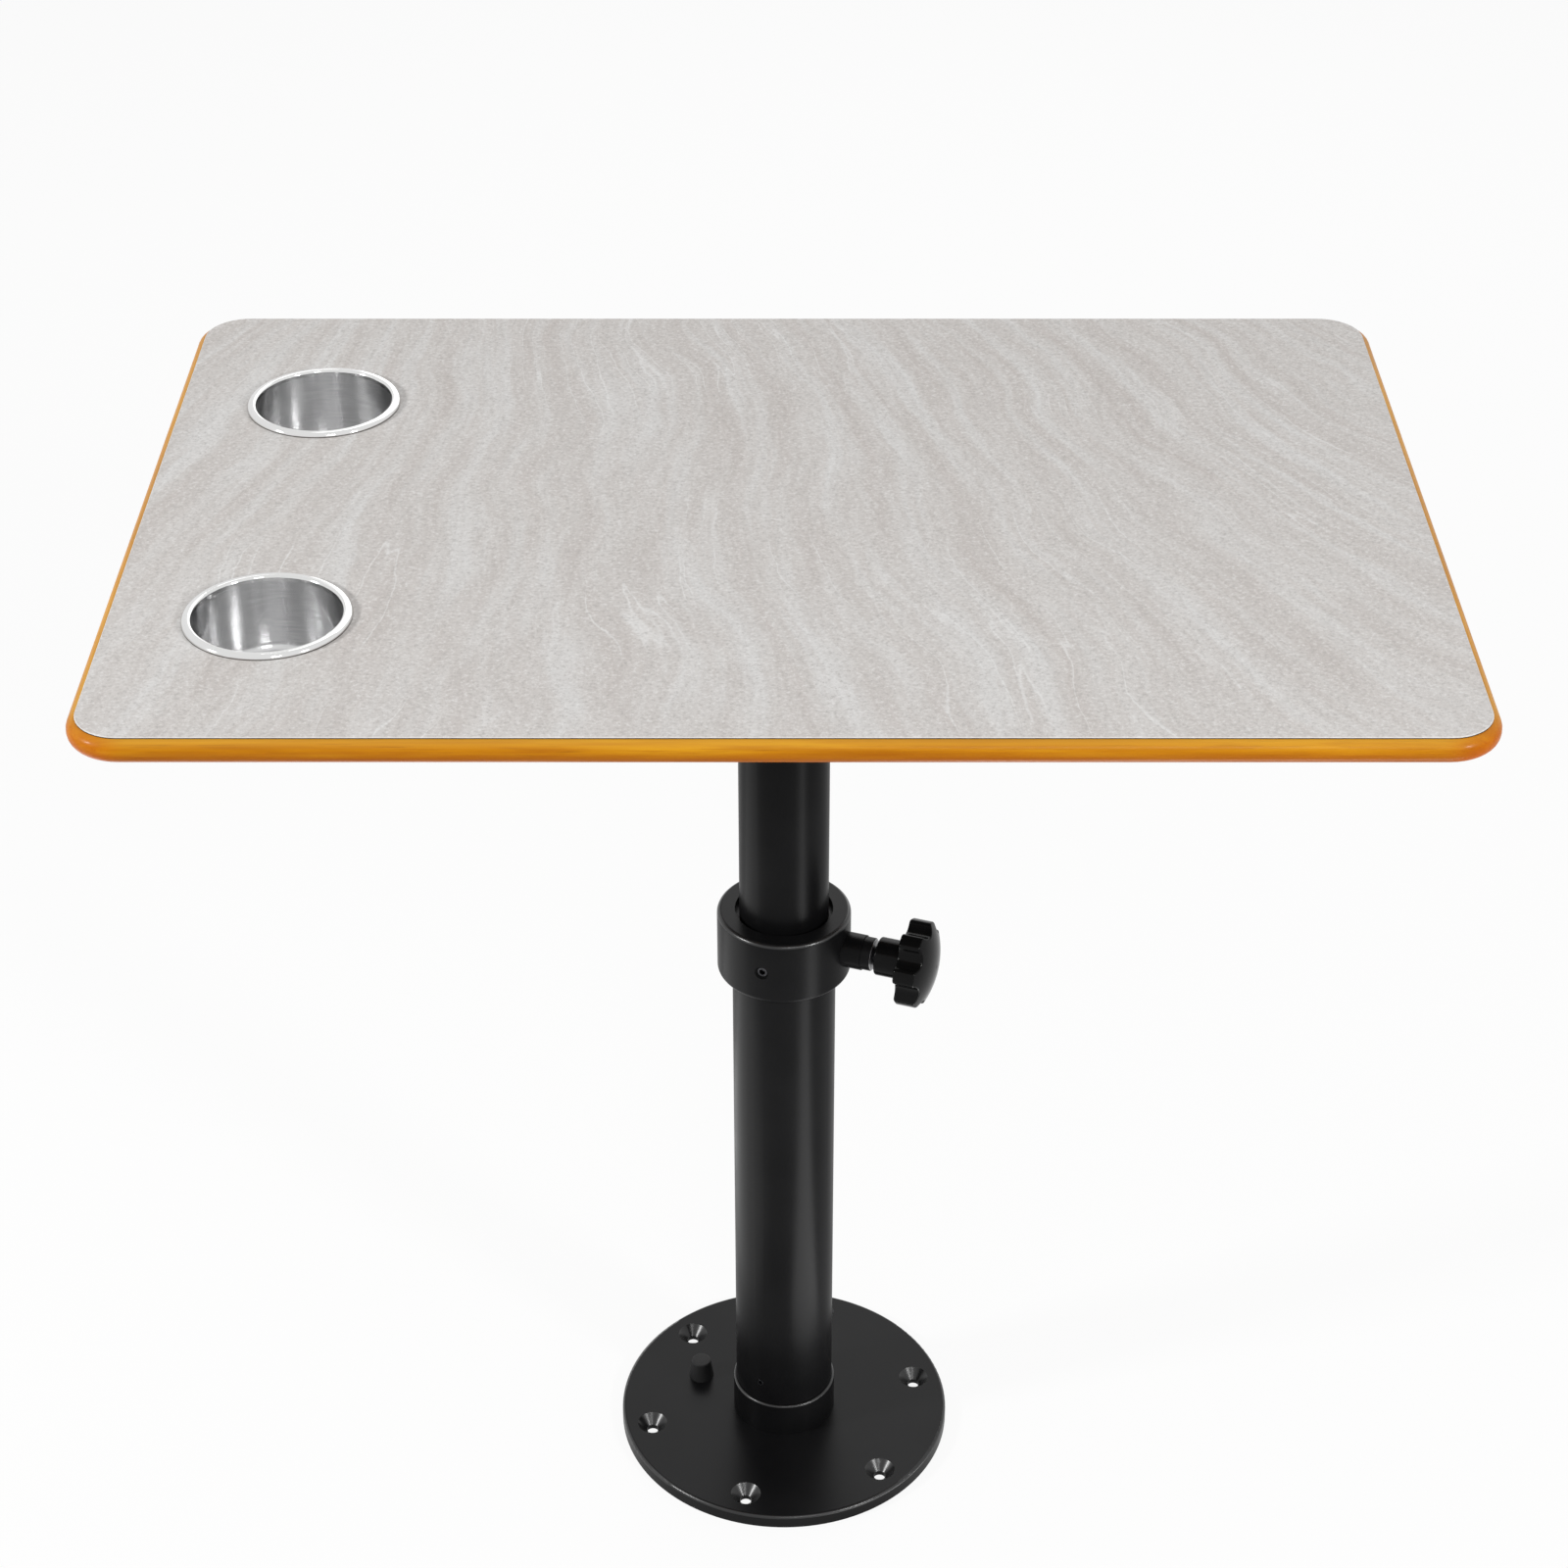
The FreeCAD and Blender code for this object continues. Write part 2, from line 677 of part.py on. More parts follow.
def make_upper_tube():
    body = new_body("upper_tube")
    turn(body, "wall", [
        ("upper_inner", "0"), ("upper_outer", "0"),
        ("upper_outer", "upper_tube_length"), ("upper_inner", "upper_tube_length"),
    ])
    hole = drill(body, "set_screw_holes", "YZ_Plane", [
        ("0", "upper_tube_length - set_screw_level + socket_floor", "set_screw_diameter + 2 * fit"),
    ], "upper_outer + overrun")
    repeat_round(body, [hole], SET_SCREWS)
    place(body, z="upper_foot")


def make_flange_screws():
    """Countersunk wood screws through the flange into the board."""
    body = new_body("flange_screws")
    middle, face = "flange_hole_circle / 2", "flange_thickness"
    head, shank = "wood_screw_head / 2 - fit", "wood_screw_diameter / 2"
    tip = f"{face} - wood_screw_length"
    screw = turn(body, "screw", [
        (middle, face), (f"{middle} + {head}", face), (f"{middle} + {shank}", f"{face} - ({head} - {shank})"),
        (f"{middle} + {shank}", f"{tip} + wood_screw_tip"), (middle, tip),
    ], axis_line=((middle, face), (middle, tip)))
    key = drill(body, "key", "XY_Plane", [(middle, "0", "wood_screw_key")], "wood_screw_key_depth",
                offset=f"{face} - wood_screw_key_depth")
    repeat_round(body, [screw, key], FLANGE_HOLES)
    place(body, z="board_foot", upside_down=True)


# Table top

def rounded_sheet(label, length, width, thickness, corner):
    """A flat sheet with round corners, centred on the column."""
    body = new_body(label)
    sketch = new_sketch(body, "outline", "XY_Plane")
    x, y = f"({length}) / 2", f"({width}) / 2"
    add_outline(sketch, [(f"-{x}", f"-{y}"), (x, f"-{y}"), (x, y), (f"-{x}", y)])
    pad(body, "sheet", sketch, thickness)
    dress(body, "Fillet", "corners", corner, upright)
    return body


def cup_holes(body, depth):
    drill(body, "cup_holes", "XY_Plane", [
        ("-cup_offset", f"{side}cup_spacing / 2", "2 * (cup_outer + cup_fit)") for side in ("", "-")
    ], depth)


def make_table_board():
    """Wooden board with a bullnose edge, cup holder holes and pilot holes for the flange."""
    body = rounded_sheet("table_board", "board_length", "board_width", "board_thickness", "board_corner")
    for name, level in (("lower_edge", "0"), ("upper_edge", "board_thickness")):
        dress(body, "Fillet", name, f"min(board_edge_round; board_thickness * {MOST_ROUND})",
              level_at(level))
    cup_holes(body, "board_thickness")
    pilot = drill(body, "pilot_holes", "XY_Plane",
                  [("flange_hole_circle / 2", "0", "wood_screw_diameter + 2 * fit")],
                  "wood_screw_length - flange_thickness + fit")
    repeat_round(body, [pilot], FLANGE_HOLES)
    place(body, z="board_foot")


def make_laminate_sheet():
    """Thin sheet on the board, bevelled round its upper edge."""
    length, width = (f"board_{side} - 2 * laminate_inset" for side in ("length", "width"))
    body = rounded_sheet("laminate_sheet", length, width, "laminate_thickness",
                         "board_corner - laminate_inset")
    dress(body, "Chamfer", "bevel", "laminate_bevel", level_at("laminate_thickness"))
    cup_holes(body, "laminate_thickness")
    place(body, z="board_top")


def make_cup_holder(label, side):
    """Turned cup with a round rim that rests on the laminate."""
    body = new_body(label)
    bore, top, rim = "cup_bore / 2", "cup_height + rim_rise", "rim_diameter / 2"
    turn(body, "section", [
        ("0", "0"), ("cup_outer", "0"), ("cup_outer", "cup_height"), (rim, "cup_height"), (rim, top),
        (bore, top), (bore, "cup_wall"), ("0", "cup_wall"),
    ])
    dress(body, "Fillet", "rim_outer", "rim_outer_round", ring_at(rim, top))
    dress(body, "Fillet", "rim_inner", "rim_inner_round", ring_at(bore, top))
    dress(body, "Fillet", "floor_inner", "cup_floor_round", ring_at(bore, "cup_wall"))
    dress(body, "Fillet", "floor_outer", "cup_floor_round + cup_wall", ring_at("cup_outer", "0"))
    place(body, "-cup_offset", f"{side}cup_spacing / 2", "table_top - cup_height")


def make_column_ends():
    """The sockets, screws and flange that hold the column's ends, the upper ones turned over."""
    place(tube_socket("foot_socket", "lower"), z="plate_thickness")
    place(set_screws("foot_set_screws", "lower"), z="plate_thickness")
    place(centre_screw("base_centre_screw", "plate"))
    place(tube_socket("top_socket", "upper"), z="flange_face", upside_down=True)
    place(set_screws("top_set_screws", "upper"), z="flange_face", upside_down=True)
    flange = round_plate("top_flange", "flange", "flange_hole_circle", "wood_screw_diameter + 2 * fit",
                         "wood_screw_head", "0", FLANGE_HOLES)
    place(flange, z="board_foot", upside_down=True)
    place(centre_screw("top_centre_screw", "flange"), z="board_foot", upside_down=True)


def check_document():
    for item in doc.Objects:
        if "Invalid" in item.State or "Error" in item.State:
            raise RuntimeError(f"{item.Name} failed: {item.State}")
    for body in subparts:
        if body.Shape.isNull() or not body.Shape.isValid():
            raise RuntimeError(f"{body.Label} has no valid shape")


make_base_plate()
make_column_ends()
make_release_button()
make_button_seat()
make_button_spring()
make_lower_tube()
make_clamp_collar()
make_collar_grub_screw()
make_guide_bush()
make_clamp_pad()
make_clamp_stud()
make_clamp_knob()
make_lower_glide()
make_upper_tube()
make_flange_screws()
make_table_board()
make_laminate_sheet()
make_cup_holder("cup_holder_front", "-")
make_cup_holder("cup_holder_rear", "")
doc.recompute()
check_document()

os.makedirs("parts", exist_ok=True)
for body in subparts:
    body.Shape.exportStep(f"parts/{body.Label}.step")
    print(f"{body.Label}: {len(body.Shape.Solids)} solids, {body.Shape.Volume / 1000:.1f} cm3")
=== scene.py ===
"""Looks of the caravan table: materials, fine pieces, floor, lamps and the photograph's camera.

Lengths are in metres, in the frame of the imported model. Colours are linear.
"""
import json
import math
import bmesh
import bpy
from mathutils import Matrix, Vector


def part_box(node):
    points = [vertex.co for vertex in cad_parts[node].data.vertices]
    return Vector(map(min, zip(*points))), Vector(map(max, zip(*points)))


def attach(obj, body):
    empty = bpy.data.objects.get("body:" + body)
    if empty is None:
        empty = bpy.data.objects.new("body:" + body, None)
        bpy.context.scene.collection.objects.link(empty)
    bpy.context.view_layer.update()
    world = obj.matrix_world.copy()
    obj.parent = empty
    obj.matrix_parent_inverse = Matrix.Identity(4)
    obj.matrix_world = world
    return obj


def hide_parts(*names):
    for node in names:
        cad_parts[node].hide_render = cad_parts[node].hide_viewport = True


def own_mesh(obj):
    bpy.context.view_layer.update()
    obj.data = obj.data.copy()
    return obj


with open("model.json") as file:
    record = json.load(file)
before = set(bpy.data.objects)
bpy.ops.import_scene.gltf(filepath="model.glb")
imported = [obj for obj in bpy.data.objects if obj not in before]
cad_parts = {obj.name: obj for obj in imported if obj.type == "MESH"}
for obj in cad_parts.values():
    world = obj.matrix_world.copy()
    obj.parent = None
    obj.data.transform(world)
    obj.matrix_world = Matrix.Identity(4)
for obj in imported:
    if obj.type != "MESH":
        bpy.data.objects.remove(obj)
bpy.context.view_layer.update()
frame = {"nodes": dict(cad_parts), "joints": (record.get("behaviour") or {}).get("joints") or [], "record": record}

MM = 0.001

# Camera, fitted to the outlines of the table, column and base in the photograph
CAMERA_PLACE = (0.0, -1.78735, 1.7106)
CAMERA_TILT = 57.13
CAMERA_LENS = 74.74
CAMERA_SENSOR = 36.0

# Light
WHITE = (1.0, 1.0, 1.0, 1.0)
AMBIENT = 0.34
BACKGROUND = 1.0
LAMP_AIM = (0.0, 0.0, 0.45)
LAMPS = {
    "front": {"place": (0.6, -3.1, 2.9), "sides": (0.7, 0.7), "watts": 20.0},
    "left": {"place": (-2.6, -0.9, 1.9), "sides": (0.36, 0.36), "watts": 51.0},
    "right": {"place": (1.9, -1.7, 1.8), "sides": (0.36, 0.36), "watts": 34.0},
    "back": {"place": (0.5, 2.6, 2.2), "sides": (2.4, 2.4), "watts": 24.0},
}

# Cards that lie on the floor beside the column and throw light up at it
CARD_RISE = 3.0 * MM
CARDS = {
    "left_card": {"place": (-0.65, 0.03), "sides": (0.95, 0.6), "turn": 3.0, "watts": 3.1},
    "right_card": {"place": (0.44, -0.41), "sides": (0.19, 0.92), "turn": 47.0, "watts": 3.2},
}

# Floor: the share that glows for the camera alone leaves the rest to show the shadow
FLOOR_SIDE = 120.0
FLOOR_DROP = 0.2 * MM
FLOOR_GLOW = 0.91
FLOOR_PAINT = {"Base Color": (0.86, 0.86, 0.855, 1.0), "Roughness": 1.0, "Specular IOR Level": 0.0}

# Most values of a noise lie in this range, so shades and roughness run over it
NOISE_RANGE = (0.3, 0.7)

# Black coat: gloss on level faces, on the column and on rounded edges, over a duller paint
PLATE_GLOSS = 0.22
TUBE_GLOSS = 0.1
EDGE_GLOSS = 1.0
GLOSS_ROUGHNESS = 0.29
COAT_ROUGHNESS = (0.3, 0.37)
COAT_SPECULAR = 0.02
COAT_SHADES = ((0.004, 0.004, 0.0043), (0.0068, 0.0068, 0.0072))
COAT_PEEL = 0.02 * MM

# Upward part of the normal where one kind of face passes into another
WALL_TO_EDGE = (0.1, 0.3)
LEVEL_TO_EDGE = (0.985, 0.93)
WALL_TO_LEVEL = (0.6, 0.95)
CUP_WALL_TO_FLOOR = (0.4, 0.8)
CUP_WALL_TO_UNDERSIDE = (-0.3, -0.7)
WOOD_TO_BACKING = (-0.9, -0.97)
SHEET_TO_ITS_EDGE = (0.8, 0.6)

# Collar: height of its rounded edge, and where the coat passes into bare metal before the end of its boss
COLLAR_EDGE = 3.0 * MM
COLLAR_EDGE_FADE = 0.5 * MM
BOSS_BARE_FROM = 0.3 * MM
BOSS_BARE_TO = 0.1 * MM
BOSS_TURNING = 0.01 * MM
BOSS_ROUGHNESS = (0.3, 0.42)
BOSS_SHADES = ((0.26, 0.26, 0.265), (0.46, 0.46, 0.465))

# Moulded and plated pieces: how far shade and roughness vary round their own values
MOULDED_SHADES = ((0.8, 0.8, 0.8), (1.2, 1.2, 1.25))
MOULDED_ROUGHNESS = (0.85, 1.15)
PLATED_ROUGHNESS = (0.8, 1.2)
ZINC_SHADES = ((0.46, 0.46, 0.48), (0.60, 0.60, 0.60))
BLACK_STEEL_SHADES = ((0.035, 0.035, 0.038), (0.07, 0.07, 0.075))
DRAWING_LINES = 0.006 * MM

# Cup holders: rim's edge to the middle of the wall, a painted shade line where the rim meets the sheet, brushing
# round the cup
CUP_SHELL = 5.5 * MM
CUP_SHELL_FADE = 0.2 * MM
CUP_POLISH_FADE = 1.0 * MM
CUP_PAINTED_SHADE_HEIGHT = (0.9 * MM, 0.4 * MM)
CUP_PAINTED_SHADE_INSET = (1.6 * MM, 0.9 * MM)
CUP_BRUSHING_AROUND = 0.0015
CUP_INSIDE_ROUGHNESS = (0.21, 0.26)
CUP_OUTSIDE_ROUGHNESS = 0.4
CUP_RIM_ROUGHNESS = 0.1
CUP_INSIDE_SHADES = ((0.56, 0.56, 0.565), (0.68, 0.68, 0.68))
CUP_OUTSIDE_SHADES = ((0.29, 0.29, 0.295), (0.39, 0.39, 0.39))
CUP_RIM_COLOUR = (0.72, 0.72, 0.715)
CUP_PAINTED_SHADE_COLOUR = (0.16, 0.155, 0.15)

# Wood: where the grain turns at the corners, the band that follows the edge, and the painted light at the top of
# its rounding with painted shade below it
GRAIN_TURN = (-6.0 * MM, 6.0 * MM)
EDGE_BAND = (18.0 * MM, 24.0 * MM)
CORNER_REACH = (40.0 * MM, 16.0 * MM)
PAINTED_LIGHT_BAND = 5.0 * MM
PAINTED_SHADE_BELOW_TOP = 4.0 * MM
PAINTED_SHADE_ABOVE_FOOT = 3.0 * MM
FIBRE_DEPTH = 0.02 * MM
WOOD_ROUGHNESS = (0.3, 0.42)
PAPER_ROUGHNESS = 0.6
WOOD_BANDS = ((0.32, (0.39, 0.12, 0.002)), (0.5, (0.55, 0.212, 0.005)), (0.70, (0.68, 0.32, 0.013)))
WOOD_FIBRE = (0.40, 0.12, 0.005)
WOOD_PORE = (0.20, 0.055, 0.004)
WOOD_PAINTED_LIGHT = (0.74, 0.40, 0.06)
WOOD_PAINTED_SHADE = (0.33, 0.078, 0.001)
WOOD_CORNER = (0.50, 0.105, 0.002)
PAPER_STOPS = ((0.35, (0.040, 0.028, 0.020)), (0.65, (0.062, 0.045, 0.033)))

# Laminate: its veins are a fan that opens from a point behind the table
VEIN_CENTRE = (-0.14, 0.85, 0.0)
VEIN_DRIFT = 0.12
VEIN_RIPPLE = 0.012
VEIN_LENGTHWAYS = 0.1
THREAD_WIDTH = 0.012
THREAD_SHARE = 0.55
GRAIN_DEPTH = 0.02 * MM
STONE_ROUGHNESS = (0.64, 0.78)
STONE_BANDS = (
    (0.32, (0.596, 0.558, 0.534)), (0.5, (0.652, 0.626, 0.605)), (0.66, (0.706, 0.695, 0.683)))
STONE_STREAK = (0.48, 0.443, 0.417)
STONE_THREAD = (0.82, 0.815, 0.805)
STONE_DARK_GRAIN = (0.43, 0.415, 0.40)
STONE_PALE_GRAIN = (0.86, 0.85, 0.84)
# The sheet's cut edge: a pale upper half, its core colour lifted as a painted highlight, over a near-black lower
# half painted as the shadow in the gap above the wood
STONE_CORE_WITH_PAINTED_HIGHLIGHT_AND_SHADOW = ((0.5, (0.035, 0.028, 0.022)), (0.62, (0.82, 0.81, 0.79)))

# Fine pieces
RING_POINTS = 48
SHARP_ANGLE = math.radians(35.0)
MERGE = 1e-6

# Stud
STUD_PITCH = 1.75 * MM
STUD_THREAD_DEPTH = 0.95 * MM
STUD_FLANK = 1.25
STUD_CREST_SHARE = 0.95
STUD_NOSE_CHAMFER = 0.4 * MM
ROWS_PER_PITCH = 8

# Screws, in shares of a screw's largest radius
GRUB_SCREW = {"chamfer": 0.16, "key": 0.5, "key_depth": 1.0, "drill_depth": 1.2, "drill_end": 0.1}
WOOD_SCREW = {
    "tip": 0.1, "point": 1.2, "shank": 0.5, "rim": 0.06, "arm": 0.55, "slot": 0.28,
    "floor_depth": 0.45, "floor_arm": 0.3, "floor_slot": 0.14, "pit_depth": 0.5, "pit": 0.05,
}


def joint_named(name):
    """A joint as the record states it."""
    return next(joint for joint in frame["joints"] if joint["name"] == name)


CLAMP_AXIS = Vector(joint_named("knob_turn")["axis"])
CLAMP_POINT = tuple(joint_named("knob_turn")["pos_m"])


def slot_of(node):
    """The material slot that the record gives a CAD node."""
    return next(part["material_slot"] for part in frame["record"]["subparts"] if part["node"] == node)


class Nodes:
    """Short calls for the nodes of one tree."""

    def __init__(self, tree):
        self.tree = tree

    def node(self, kind, inputs=None, **settings):
        """Add a node, set its properties and feed its inputs with values or other nodes' outputs."""
        made = self.tree.nodes.new("ShaderNode" + kind)
        for name, value in settings.items():
            setattr(made, name, value)
        for key, value in (inputs or {}).items():
            self.feed(made.inputs[key], value)
        return made

    def feed(self, socket, value):
        """Link another node's output to a socket, or set the socket to a plain value."""
        if isinstance(value, bpy.types.NodeSocket):
            self.tree.links.new(value, socket)
        else:
            socket.default_value = value

    def math(self, operation, first, second=0.0):
        """Result of an operation on one or two values."""
        return self.node("Math", {0: first, 1: second}, operation=operation).outputs[0]

    def seen_rays(self):
        """One for what the camera sees, straight or in a reflection, and nought for light that is cast."""
        path = self.node("LightPath").outputs
        seen = self.math("MAXIMUM", path["Is Camera Ray"], path["Is Glossy Ray"])
        return self.math("MAXIMUM", seen, path["Is Transmission Ray"])


class Surface(Nodes):
    """A node material round one Principled shader, with constants for some of the shader's sockets."""

    def __init__(self, name, constants):
        self.material = bpy.data.materials.new(name)
        self.material.use_nodes = True
        super().__init__(self.material.node_tree)
        self.shader = self.tree.nodes["Principled BSDF"]
        for socket, value in constants.items():
            self.set(socket, value)
        self.place = self.node("TexCoord").outputs["Object"]

    def set(self, socket, value):
        """Feed an input of the shader."""
        self.feed(self.shader.inputs[socket], value)

    def facing(self):
        """Upward part of the normal: 1 on level faces, 0 on walls and -1 on undersides."""
        return self.split(self.node("NewGeometry").outputs["Normal"])[2]

    def vector_math(self, operation, first, second=(0.0, 0.0, 0.0)):
        """Result of an operation on one or two vectors."""
        made = self.node("VectorMath", {0: first, 1: second}, operation=operation)
        return made.outputs["Value" if operation in ("DOT_PRODUCT", "LENGTH") else "Vector"]

    def scaled(self, vector, factor):
        """A vector times a number."""
        return self.node("VectorMath", {0: vector, "Scale": factor}, operation="SCALE").outputs["Vector"]

    def stretched(self, factors):
        """The place on the object, multiplied axis by axis."""
        return self.vector_math("MULTIPLY", self.place, factors)

    def split(self, vector):
        """The x, y and z of a vector."""
        return self.node("SeparateXYZ", {0: vector}).outputs

    def join(self, x=0.0, y=0.0, z=0.0):
        """A vector from x, y and z."""
        return self.node("CombineXYZ", {0: x, 1: y, 2: z}).outputs[0]

    def noise(self, scale, vector=None, detail=2.0, roughness=0.5, colour=False):
        """Noise over a vector, or over the place on the object, as a value or a colour."""
        made = self.node("TexNoise", {
            "Vector": vector or self.place, "Scale": scale, "Detail": detail, "Roughness": roughness,
        })
        return made.outputs[1 if colour else 0]

    def wobble(self, scale, detail, size):
        """Shift in all directions by a noise."""
        noise = self.noise(scale, detail=detail, colour=True)
        return self.scaled(self.vector_math("SUBTRACT", noise, (0.5, 0.5, 0.5)), size)

    def span(self, value, low, high, to_low=0.0, to_high=1.0):
        """Map one range of a value smoothly to another, and clamp it there."""
        return self.node("MapRange", {
            "Value": value, "From Min": low, "From Max": high, "To Min": to_low, "To Max": to_high,
        }, interpolation_type="SMOOTHSTEP").outputs[0]

    def over_noise(self, noise, low, high):
        """A value that runs from low to high over a noise."""
        return self.span(noise, *NOISE_RANGE, low, high)

    def ramp(self, value, *stops):
        """Colour ramp through (position, colour) stops."""
        made = self.node("ValToRGB", {0: value})
        while len(made.color_ramp.elements) < len(stops):
            made.color_ramp.elements.new(1.0)
        for element, (position, colour) in zip(made.color_ramp.elements, stops):
            element.position = position
            element.color = (*colour, 1.0)
        return made.outputs[0]

    def shades(self, noise, colours):
        """A colour that runs from the dark to the light one over a noise."""
        return self.ramp(noise, *zip(NOISE_RANGE, colours))

    def mix(self, factor, first, second):
        """Mix two values."""
        return self.node("Mix", {0: factor, 2: first, 3: second}).outputs[0]

    def blend(self, factor, first, second):
        """Mix two colours, which have sockets of their own on the node."""
        made = self.node("Mix", data_type="RGBA")
        for socket, value in zip((made.inputs[0], made.inputs[6], made.inputs[7]), (factor, first, second)):
            self.feed(socket, (*value, 1.0) if isinstance(value, tuple) else value)
        return made.outputs[2]

    def relief(self, height, depth, below=None):
        """Bump of a height field with that depth, on top of another one."""
        inputs = {"Height": height, "Distance": depth, "Strength": 1.0}
        if below:
            inputs["Normal"] = below
        return self.node("Bump", inputs).outputs[0]


# Materials

def powder_coat(name, gloss, edges_from=None, bare_from=None):
    """Satin black powder coat with a gloss for its walls, rubbed glossier on rounded edges above a height.

    It has turned bare metal past a distance along the clamp's axis.
    """
    surface = Surface(name, {"Specular IOR Level": COAT_SPECULAR, "Coat Roughness": GLOSS_ROUGHNESS})
    facing = surface.facing()
    rounded = surface.math(
        "MULTIPLY", surface.span(facing, *WALL_TO_EDGE), surface.span(facing, *LEVEL_TO_EDGE))
    if edges_from is not None:
        height = surface.split(surface.place)[2]
        above = surface.span(height, edges_from, edges_from + COLLAR_EDGE_FADE)
        rounded = surface.math("MULTIPLY", rounded, above)
    level_gloss = surface.span(facing, *WALL_TO_LEVEL, gloss, PLATE_GLOSS)
    cloud = surface.noise(16.0, detail=3.0)
    colour = surface.shades(cloud, COAT_SHADES)
    roughness = surface.over_noise(cloud, *COAT_ROUGHNESS)
    normal = surface.relief(surface.noise(850.0), COAT_PEEL)
    if bare_from is not None:
        reach = surface.vector_math("DOT_PRODUCT", surface.place, tuple(CLAMP_AXIS))
        bare = surface.span(reach, bare_from - BOSS_BARE_FROM, bare_from - BOSS_BARE_TO)
        from_axis = surface.vector_math(
            "CROSS_PRODUCT", surface.vector_math("SUBTRACT", surface.place, CLAMP_POINT), tuple(CLAMP_AXIS))
        turned = surface.noise(5200.0, surface.join(surface.vector_math("LENGTH", from_axis)), detail=3.0)
        colour = surface.blend(bare, colour, surface.shades(turned, BOSS_SHADES))
        roughness = surface.mix(bare, roughness, surface.over_noise(turned, *BOSS_ROUGHNESS))
        normal = surface.relief(turned, BOSS_TURNING, normal)
        surface.set("Metallic", bare)
    surface.set("Coat Weight", surface.mix(rounded, level_gloss, EDGE_GLOSS))
    surface.set("Base Color", colour)
    surface.set("Roughness", roughness)
    surface.set("Normal", normal)
    return surface.material


def moulded(name, shade, roughness, specular, grain, depth):
    """Moulded plastic or rubber with a fine grain of that size and depth."""
    surface = Surface(name, {"Specular IOR Level": specular})
    cloud = surface.noise(35.0, detail=3.0)
    shades = [tuple(shade * part for part in parts) for parts in MOULDED_SHADES]
    surface.set("Base Color", surface.shades(cloud, shades))
    surface.set("Roughness", surface.over_noise(cloud, *(roughness * part for part in MOULDED_ROUGHNESS)))
    surface.set("Normal", surface.relief(surface.noise(1.0 / grain), depth))
    return surface.material


def plated_steel(name, shades, roughness):
    """Plated steel with faint clouds and fine drawing lines."""
    surface = Surface(name, {"Metallic": 1.0})
    cloud = surface.noise(220.0, detail=4.0, roughness=0.6)
    lines = surface.noise(60.0, surface.stretched((60.0, 60.0, 8.0)))
    surface.set("Base Color", surface.shades(cloud, shades))
    surface.set("Roughness", surface.over_noise(cloud, *(roughness * part for part in PLATED_ROUGHNESS)))
    surface.set("Normal", surface.relief(lines, DRAWING_LINES))
    return surface.material


def stainless(name, node):
    """Stainless cup with a polished rim and a dull outside, brushed round its axis, with a painted shade line at
    the foot of the rim.
    """
    low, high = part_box(node)
    rim_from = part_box("laminate_sheet")[1].z
    rim_radius = (high.x - low.x) / 2
    mid_wall = rim_radius - CUP_SHELL
    axis = ((low.x + high.x) / 2, (low.y + high.y) / 2, 0.0)
    surface = Surface(name, {"Metallic": 1.0, "Anisotropic": 0.85, "Anisotropic Rotation": 0.25})
    x, y, z = surface.split(surface.vector_math("SUBTRACT", surface.place, axis))
    radius = surface.vector_math("LENGTH", surface.join(x, y))
    angle = surface.math("ARCTAN2", y, x)
    facing = surface.facing()
    level = surface.span(surface.math("ABSOLUTE", facing), *CUP_WALL_TO_FLOOR)
    around = surface.math("MULTIPLY", angle, CUP_BRUSHING_AROUND)
    brushed = surface.join(around, surface.math("MULTIPLY", radius, level), z)
    brushing = surface.noise(1600.0, brushed, detail=4.0, roughness=0.65)
    polish = surface.span(z, rim_from - CUP_POLISH_FADE, rim_from)
    outside = surface.math(
        "MAXIMUM", surface.span(radius, mid_wall - CUP_SHELL_FADE, mid_wall + CUP_SHELL_FADE),
        surface.span(facing, *CUP_WALL_TO_UNDERSIDE))
    # Painted shade: a dark line along the rim's lower outer edge, where it meets the sheet
    rim_painted_shade = surface.math(
        "MULTIPLY", surface.span(z, *(rim_from + height for height in CUP_PAINTED_SHADE_HEIGHT)),
        surface.span(radius, *(rim_radius - inset for inset in CUP_PAINTED_SHADE_INSET)))
    colour = surface.blend(outside, surface.shades(brushing, CUP_INSIDE_SHADES),
                           surface.shades(brushing, CUP_OUTSIDE_SHADES))
    colour = surface.blend(polish, colour, CUP_RIM_COLOUR)
    surface.set("Base Color", surface.blend(rim_painted_shade, colour, CUP_PAINTED_SHADE_COLOUR))
    roughness = surface.mix(
        outside, surface.over_noise(brushing, *CUP_INSIDE_ROUGHNESS), CUP_OUTSIDE_ROUGHNESS)
    surface.set("Roughness", surface.mix(polish, roughness, CUP_RIM_ROUGHNESS))
    surface.set("Tangent", surface.node("Tangent", direction_type="RADIAL", axis="Z").outputs[0])
    return surface.material


